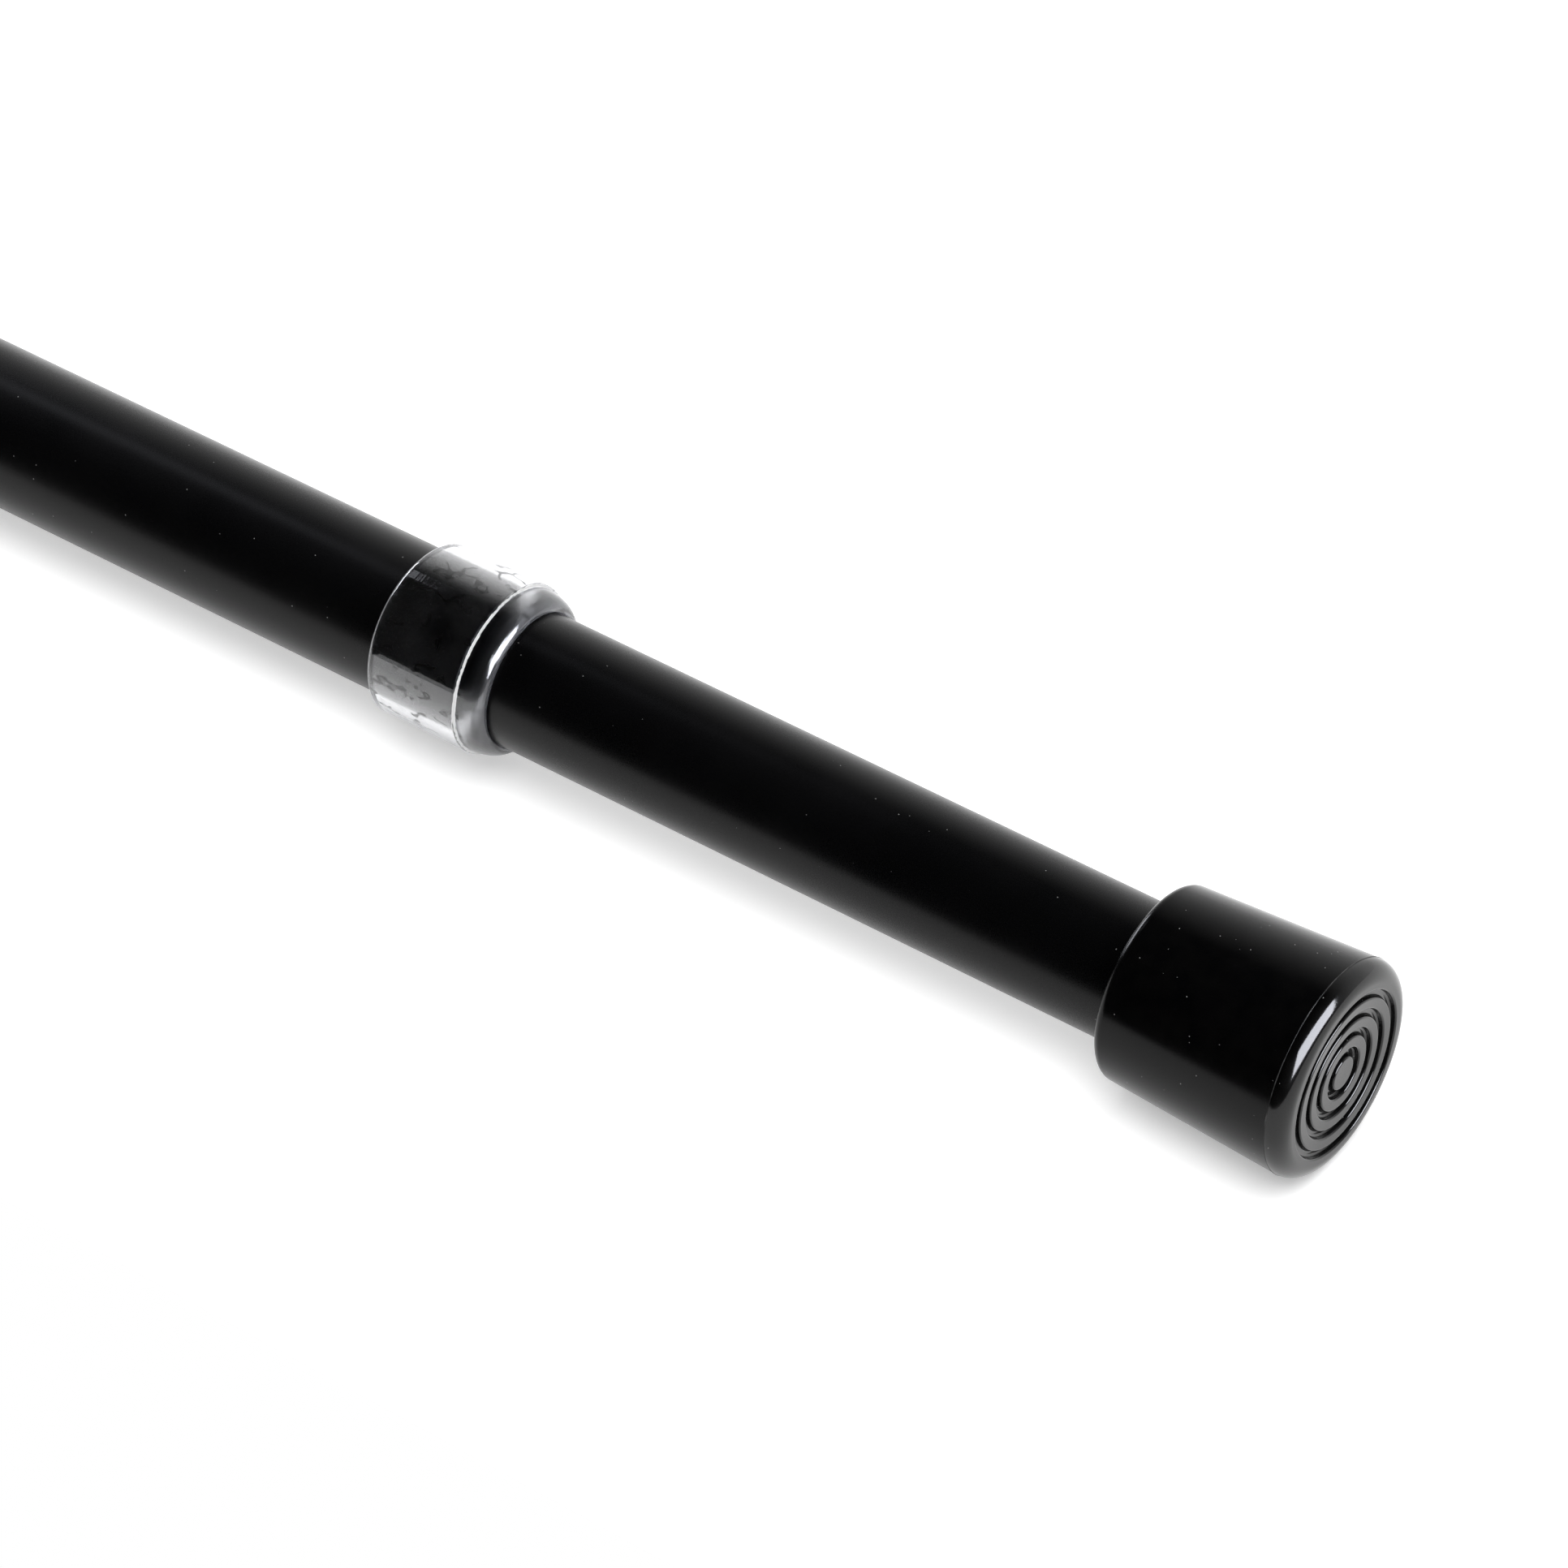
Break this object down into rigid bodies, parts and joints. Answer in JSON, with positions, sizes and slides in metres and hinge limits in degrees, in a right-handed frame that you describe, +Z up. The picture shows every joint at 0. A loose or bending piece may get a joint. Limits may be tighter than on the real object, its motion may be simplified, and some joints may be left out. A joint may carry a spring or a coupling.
{
  "type": "pull up bar",
  "caption": "Telescoping doorway bar with soft ring-faced end caps, a clear collar over the tube joint, and a friction anchor, twist screw and take-up spring inside.",
  "frame": {"origin": "centre of the fixed end's face, on the bar's axis", "axes": "+X along the bar from the fixed end to the moving end, +Z up"},
  "size_m": [0.8, 0.0398, 0.0398],
  "materials": {
    "outer_tube_paint": "satin black paint with a fine grain",
    "inner_tube_paint": "satin black paint",
    "cap_vinyl": "soft black vinyl, glossy on the wall and dull in the face grooves",
    "clear_plastic": "clear moulded plastic, slightly milky",
    "black_nylon": "moulded black nylon",
    "white_nylon": "natural nylon",
    "dark_steel": "oiled dark steel",
    "zinc_steel": "zinc plated steel"
  },
  "bodies": {
    "outer": {"outer_tube": "outer_tube_paint", "left_end_plug": "black_nylon", "left_plug_rivet_1": "zinc_steel", "left_plug_rivet_2": "zinc_steel", "left_end_cap": "cap_vinyl", "clear_collar": "clear_plastic"},
    "anchor": {"threaded_rod": "zinc_steel", "anchor_nut": "zinc_steel", "anchor_roll_pin": "dark_steel", "anchor_washer_front": "zinc_steel", "expander_sleeve": "white_nylon", "expander_cone": "dark_steel", "anchor_washer_rear": "zinc_steel", "anchor_lock_nut": "zinc_steel", "rod_stop_collar": "dark_steel", "rod_stop_pin": "dark_steel"},
    "glide": {"glide_ring": "white_nylon"},
    "nut": {"drive_nut": "dark_steel", "nut_snap_ring_front": "dark_steel", "nut_snap_ring_rear": "dark_steel", "spring_washer": "zinc_steel"},
    "inner": {"inner_tube": "inner_tube_paint", "nut_carrier": "zinc_steel", "carrier_rivet_1": "zinc_steel", "carrier_rivet_2": "zinc_steel", "take_up_spring": "dark_steel", "spring_seat": "zinc_steel", "seat_rivet_1": "zinc_steel", "seat_rivet_2": "zinc_steel", "right_end_plug": "black_nylon", "right_plug_rivet_1": "zinc_steel", "right_plug_rivet_2": "zinc_steel", "right_end_cap": "cap_vinyl"}
  },
  "joints": [
    {"name": "anchor_slide", "type": "slide", "parent": "outer", "child": "anchor", "axis": [1, 0, 0], "range_m": [-0.112, 0.175]},
    {"name": "jack_slide", "type": "slide", "parent": "anchor", "child": "glide", "axis": [1, 0, 0], "range_m": [-0.0102, 0.0252]},
    {"name": "twist", "type": "hinge", "parent": "glide", "child": "nut", "pos_m": [0.23, 0, 0], "axis": [1, 0, 0], "range_deg": [-1200, 3000]},
    {"name": "take_up", "type": "slide", "parent": "nut", "child": "inner", "axis": [1, 0, 0], "range_m": [-0.006, 0], "stiffness_N_per_m": 9000, "springref_m": 0.01, "deforming": ["take_up_spring"]}
  ],
  "couplings": [
    {"joint": "jack_slide", "follows": "twist", "m_per_rad": 0.00047746}
  ]
}
